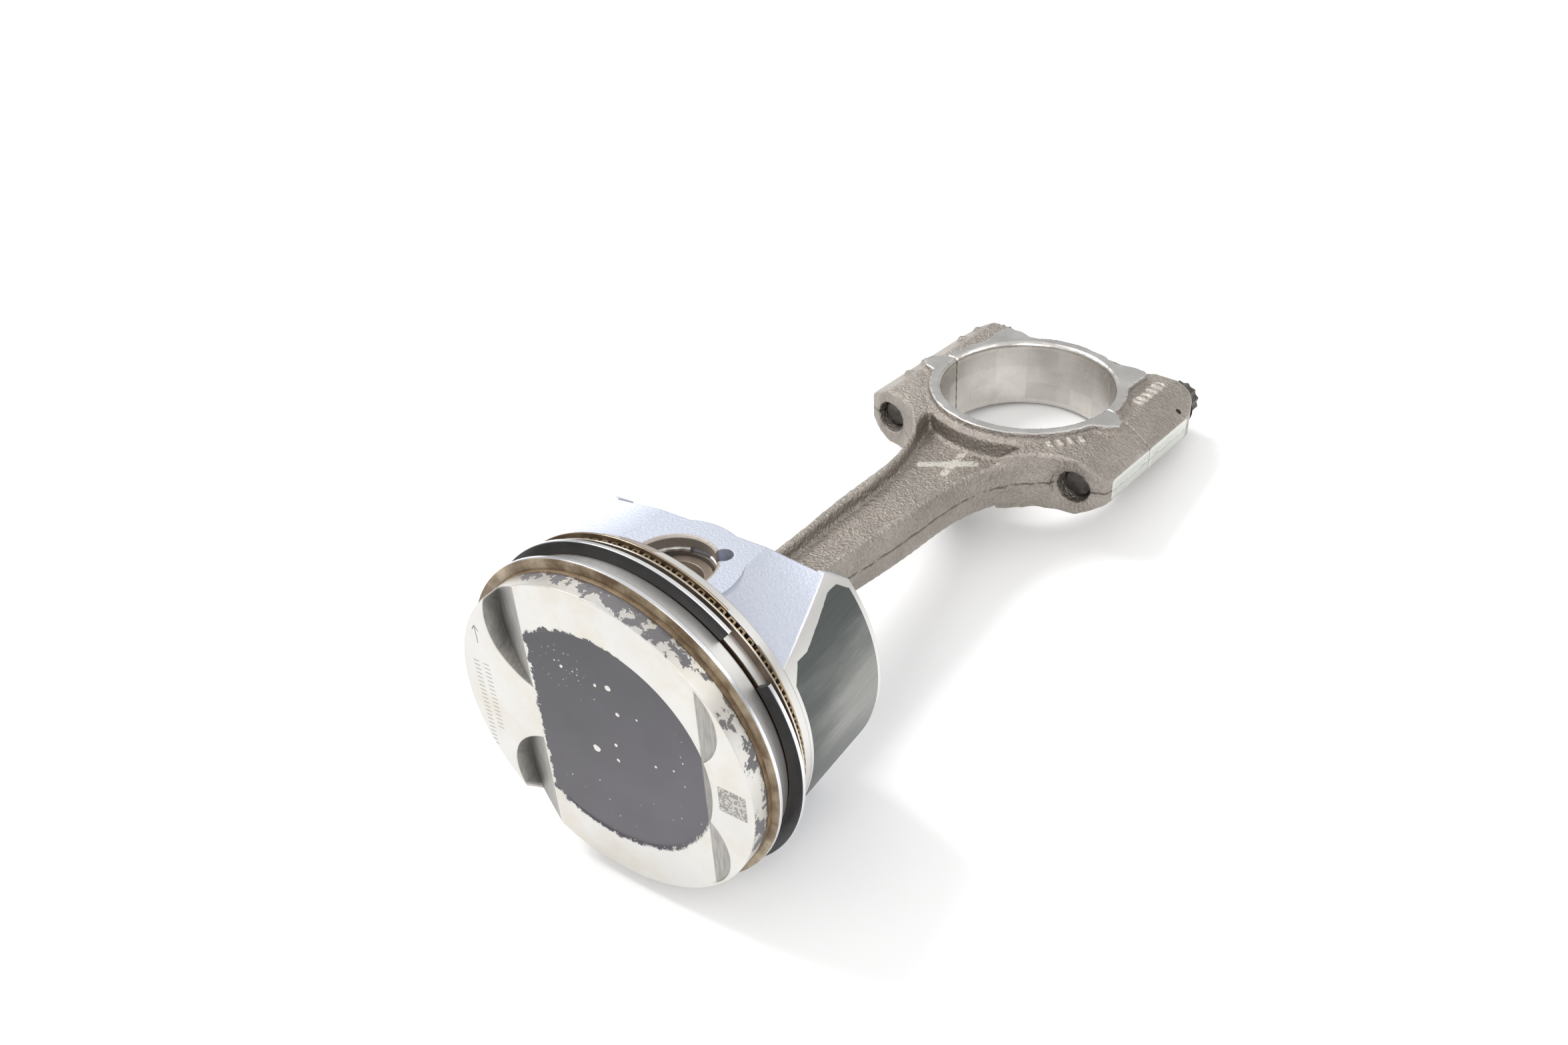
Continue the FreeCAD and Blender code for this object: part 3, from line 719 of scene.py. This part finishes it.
def true_up(local):
    """Put the bore and the thrust faces back exactly where they are machined."""
    radial = np.hypot(local[:, 1], local[:, 2] - BIG_END_Z)
    on_bore = (np.abs(radial - BIG_BORE_R) < 0.3) & (np.abs(local[:, 0]) < 9.8)
    scale = np.where(on_bore, BIG_BORE_R / np.maximum(radial, 1e-6), 1.0)
    local[:, 1] *= scale
    local[:, 2] = BIG_END_Z + (local[:, 2] - BIG_END_Z) * scale
    on_face = (np.abs(np.abs(local[:, 0]) - THRUST_FACE_P) < 0.2) & (radial < 45.0)
    local[on_face, 0] = np.sign(local[on_face, 0]) * THRUST_FACE_P


def forged_copy(node_name, name, material):
    mesh = voxel_mesh(node_name)
    flat = np.empty(len(mesh.vertices) * 3)
    mesh.vertices.foreach_get("co", flat)
    edges = np.empty(len(mesh.edges) * 2, dtype=np.int64)
    mesh.edges.foreach_get("vertices", edges)
    edges = edges.reshape(-1, 2)
    axes = np.array(ROD)
    local = (flat.reshape(-1, 3) - np.array(ROD_ORIGIN)) @ axes / MM

    from_split = np.abs(local[:, 2] - BIG_END_Z)
    local = relax(local, edges, 0.8 * np.clip(from_split / SPLIT_MARGIN, 0.0, 1.0), FIRST_ROUNDS)
    share = np.clip((machined_gap(local) - KEPT_GAP) / BLEND_GAP, 0.0, 1.0)
    local = relax(local, edges, share, FORGED_ROUNDS)
    true_up(local)
    local[:, 0] += raised_marks(local) * MARK_HEIGHT
    flat = local * MM @ axes.T + np.array(ROD_ORIGIN)
    mesh.vertices.foreach_set("co", flat.ravel())
    mesh.materials.clear()
    mesh.materials.append(material)
    mesh.polygons.foreach_set("use_smooth", [True] * len(mesh.polygons))
    mesh.update()
    piece = bpy.data.objects.new(name, mesh)
    bpy.context.scene.collection.objects.link(piece)
    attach(piece, "rod")
    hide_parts(node_name)


assign(piston_material(), "piston_body")
assign(ring_material("top_ring_steel", "top_ring_turn", 43.3,
                     (0.17, 0.115, 0.065), (0.47, 0.39, 0.28), (0.72, 0.73, 0.76)), "top_ring")
assign(ring_material("second_ring_iron", "second_ring_turn", 44.0,
                     (0.018, 0.018, 0.020), (0.035, 0.034, 0.036), (0.80, 0.80, 0.81),
                     metal_side=0.2, rough_side=0.34), "second_ring")
assign(ring_material("upper_rail_steel", "upper_rail_turn", 42.5,
                     (0.10, 0.065, 0.045), (0.17, 0.12, 0.085), (0.62, 0.56, 0.48)), "oil_ring_upper_rail")
assign(ring_material("lower_rail_steel", "lower_rail_turn", 42.0,
                     (0.12, 0.08, 0.05), (0.26, 0.19, 0.12), (0.42, 0.34, 0.25)), "oil_ring_lower_rail")
assign(steel_material("carrier_iron", (0.16, 0.11, 0.065), (0.34, 0.25, 0.16), 0.20, 0.45, 0.5),
       "top_ring_carrier")
assign(steel_material("expander_steel", (0.13, 0.085, 0.045), (0.36, 0.27, 0.16), 0.3, 0.36, 0.7),
       "oil_ring_expander")
assign(steel_material("clip_wire", (0.34, 0.32, 0.30), (0.60, 0.58, 0.55), 0.5, 0.28),
       "circlip_upper", "circlip_lower")
assign(steel_material("bush_bronze", (0.45, 0.31, 0.14), (0.62, 0.45, 0.22), 0.3, 0.32),
       "small_end_bush")
assign(steel_material("bolt_steel", (0.05, 0.045, 0.04), (0.12, 0.11, 0.10), 0.4, 0.42, 0.6),
       "rod_bolt_left", "rod_bolt_right")
assign(pin_material(), "wrist_pin")
ROD_STEEL = rod_material()
assign(ROD_STEEL, "connecting_rod", "rod_cap")
forged_copy("connecting_rod", "rod_forging", ROD_STEEL)
forged_copy("rod_cap", "cap_forging", ROD_STEEL)


# ================================================================================================
# Floor, lights and camera
# ================================================================================================

FLOOR_HALF = 3.0
LENS_MM = 30.306
CAMERA_PLACE = (204.10, -158.59, 175.35)                 # engine frame, millimetres
CAMERA_AHEAD = (-0.57513251, 0.48051537, -0.66206312)    # engine frame directions
CAMERA_UP = (0.81642206, 0.28595503, -0.5016819)


def make_floor():
    mesh = bpy.data.meshes.new("floor")
    corners = [(-FLOOR_HALF, -FLOOR_HALF, 0), (FLOOR_HALF, -FLOOR_HALF, 0),
               (FLOOR_HALF, FLOOR_HALF, 0), (-FLOOR_HALF, FLOOR_HALF, 0)]
    mesh.from_pydata(corners, [], [(0, 1, 2, 3)])
    floor = bpy.data.objects.new("floor", mesh)
    bpy.context.scene.collection.objects.link(floor)
    sh = Shader("floor")
    pos = sh.coordinates(Vector((0, 0, 0)), Matrix.Identity(3))
    speckle = sh.noise(pos, 0.02, 3)
    sh.base(sh.mix((0.90, 0.90, 0.895), (0.93, 0.93, 0.93), speckle), 0.55, 0.0)
    mesh.materials.append(sh.finish())


def add_light(name, place, size, watts):
    """A square soft light aimed at the middle of the floor."""
    data = bpy.data.lights.new(name, "AREA")
    data.size = size
    data.energy = watts
    lamp = bpy.data.objects.new(name, data)
    lamp.location = place
    lamp.rotation_euler = (-place).to_track_quat("-Z", "Y").to_euler()
    bpy.context.scene.collection.objects.link(lamp)


def make_camera():
    data = bpy.data.cameras.new("camera")
    data.sensor_width = 36.0
    data.lens = LENS_MM
    data.clip_start = 0.01
    data.clip_end = 20.0
    camera = bpy.data.objects.new("camera", data)
    ahead = (ENGINE @ Vector(CAMERA_AHEAD)).normalized()
    right = ahead.cross(ENGINE @ Vector(CAMERA_UP)).normalized()
    axes = Matrix((right, right.cross(ahead), -ahead)).transposed().to_4x4()
    camera.matrix_world = Matrix.Translation(from_engine(*CAMERA_PLACE)) @ axes
    bpy.context.scene.collection.objects.link(camera)
    bpy.context.scene.camera = camera
    return right, ahead


def make_world():
    """White overhead, greyer toward the horizon."""
    world = bpy.data.worlds.new("studio")
    world.use_nodes = True
    tree = world.node_tree
    background = tree.nodes["Background"]
    source = tree.nodes.new("ShaderNodeTexCoord")
    parts = tree.nodes.new("ShaderNodeSeparateXYZ")
    lift = tree.nodes.new("ShaderNodeMapRange")
    lift.interpolation_type = "SMOOTHSTEP"
    for key, number in (("From Min", 0.0), ("From Max", 0.75), ("To Min", 0.42), ("To Max", 1.05)):
        lift.inputs[key].default_value = number
    tree.links.new(source.outputs["Generated"], parts.inputs[0])
    tree.links.new(parts.outputs["Z"], lift.inputs["Value"])
    tree.links.new(lift.outputs[0], background.inputs["Color"])
    background.inputs["Strength"].default_value = 0.85
    bpy.context.scene.world = world


make_floor()
make_world()
RIGHT, AHEAD = make_camera()
FLAT_RIGHT = Vector((RIGHT.x, RIGHT.y, 0)).normalized()
FLAT_AHEAD = Vector((AHEAD.x, AHEAD.y, 0)).normalized()
add_light("key", FLAT_AHEAD * 0.9 - FLAT_RIGHT * 0.8 + UP * 1.5, 0.8, 28)
add_light("front", FLAT_AHEAD * -1.1 - FLAT_RIGHT * 0.3 + UP * 1.0, 0.8, 7)
add_light("fill", FLAT_RIGHT * 1.2 - FLAT_AHEAD * 0.2 + UP * 0.9, 0.9, 5)
bpy.context.scene.view_settings.view_transform = "Standard"
